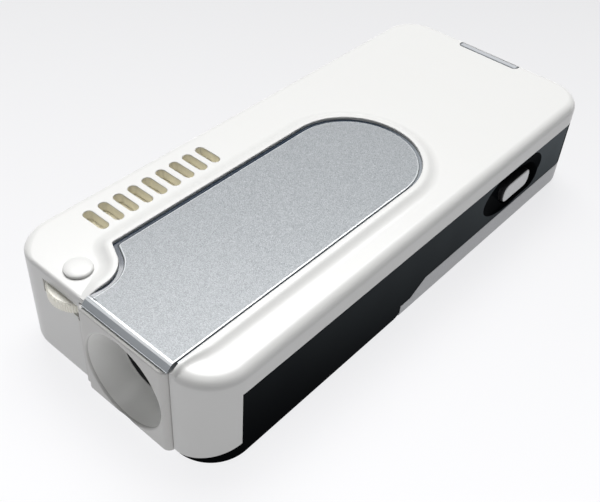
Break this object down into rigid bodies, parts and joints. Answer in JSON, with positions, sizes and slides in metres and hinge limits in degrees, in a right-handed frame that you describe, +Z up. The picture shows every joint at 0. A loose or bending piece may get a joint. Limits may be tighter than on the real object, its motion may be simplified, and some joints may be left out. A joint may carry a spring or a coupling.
{
  "type": "mini projector",
  "caption": "Pocket-size video projector with a side lens hood, knurled focus wheel, sliding power switch and slide-off battery cover.",
  "frame": {"origin": "on the surface the projector stands on, under the middle of its bounding box", "axes": "+Z up; -Y is where the lens looks, so +Y runs to the rear with the jacks; +X to the side with the power switch"},
  "size_m": [0.049, 0.1164, 0.0218],
  "materials": {
    "white_shell": "gloss white moulding with a soft highlight",
    "black_shell": "gloss black moulding",
    "smoke_window": "translucent smoke grey",
    "silver_plate": "silver-grey paint with a fine sparkle",
    "dark_trim": "dark blue-grey, satin",
    "ivory_wheel": "ivory, satin, with fine knurls",
    "lens_black": "matt black against stray light",
    "lens_glass": "coated optical glass with a green-blue reflection",
    "black_chip": "black moulding compound",
    "amber_resin": "amber resin film",
    "bare_aluminium": "extruded, unpainted",
    "filter_felt": "beige filter felt",
    "green_board": "green solder mask over glass fibre",
    "copper_coil": "enamelled copper wire",
    "steel": "plain steel",
    "knob_grey": "light grey, satin",
    "battery_wrap": "dark shrink wrap",
    "spring_brass": "bright spring strip",
    "grey_cover": "light grey moulding, satin",
    "foot_rubber": "matt black rubber"
  },
  "bodies": {
    "housing": {"top_shell": "white_shell", "lens_hood": "white_shell", "focus_axle": "white_shell", "bottom_shell": "black_shell", "indicator_window": "smoke_window", "light_pipe": "smoke_window", "cover_plate": "silver_plate", "plate_trim": "dark_trim", "optics_frame": "lens_black", "beam_prism": "lens_glass", "collimator_lens": "lens_glass", "picture_panel": "black_chip", "video_chip": "black_chip", "power_chip": "black_chip", "memory_chip": "black_chip", "sound_jack": "black_chip", "supply_jack": "black_chip", "contact_block": "black_chip", "lamp_chip": "amber_resin", "indicator_lamp": "amber_resin", "panel_ribbon": "amber_resin", "lamp_board": "bare_aluminium", "heat_sink": "bare_aluminium", "dust_filter": "filter_felt", "main_board": "green_board", "power_coil": "copper_coil", "data_port": "steel", "switch_body": "steel", "case_screw_front_left": "steel", "case_screw_front_right": "steel", "case_screw_rear_left": "steel", "case_screw_rear_right": "steel", "frame_screw_1": "steel", "frame_screw_2": "steel", "battery_pack": "battery_wrap", "contact_spring_1": "spring_brass", "contact_spring_2": "spring_brass", "contact_spring_3": "spring_brass", "foot_front_left": "foot_rubber", "foot_front_right": "foot_rubber"},
    "focus_wheel": {"focus_wheel": "ivory_wheel"},
    "lens": {"lens_barrel": "lens_black", "front_lens": "lens_glass", "rear_lens": "lens_glass"},
    "power_knob": {"power_knob": "knob_grey"},
    "battery_cover": {"battery_cover": "grey_cover", "foot_rear_left": "foot_rubber", "foot_rear_right": "foot_rubber"}
  },
  "joints": [
    {"name": "focus_turn", "type": "hinge", "parent": "housing", "child": "focus_wheel", "pos_m": [-0.00995, -0.05265, 0.017], "axis": [0, 0, 1], "range_deg": [-32, 32]},
    {"name": "lens_focus", "type": "slide", "parent": "housing", "child": "lens", "axis": [0, 1, 0], "range_m": [-0.00078, 0.00078]},
    {"name": "power_slide", "type": "slide", "parent": "housing", "child": "power_knob", "axis": [0, 1, 0], "range_m": [0, 0.0022]},
    {"name": "cover_slide", "type": "slide", "parent": "housing", "child": "battery_cover", "axis": [0, 1, 0], "range_m": [0, 0.066]}
  ],
  "couplings": [
    {"joint": "focus_turn", "follows": "lens_focus", "rad_per_m": 714.29}
  ]
}
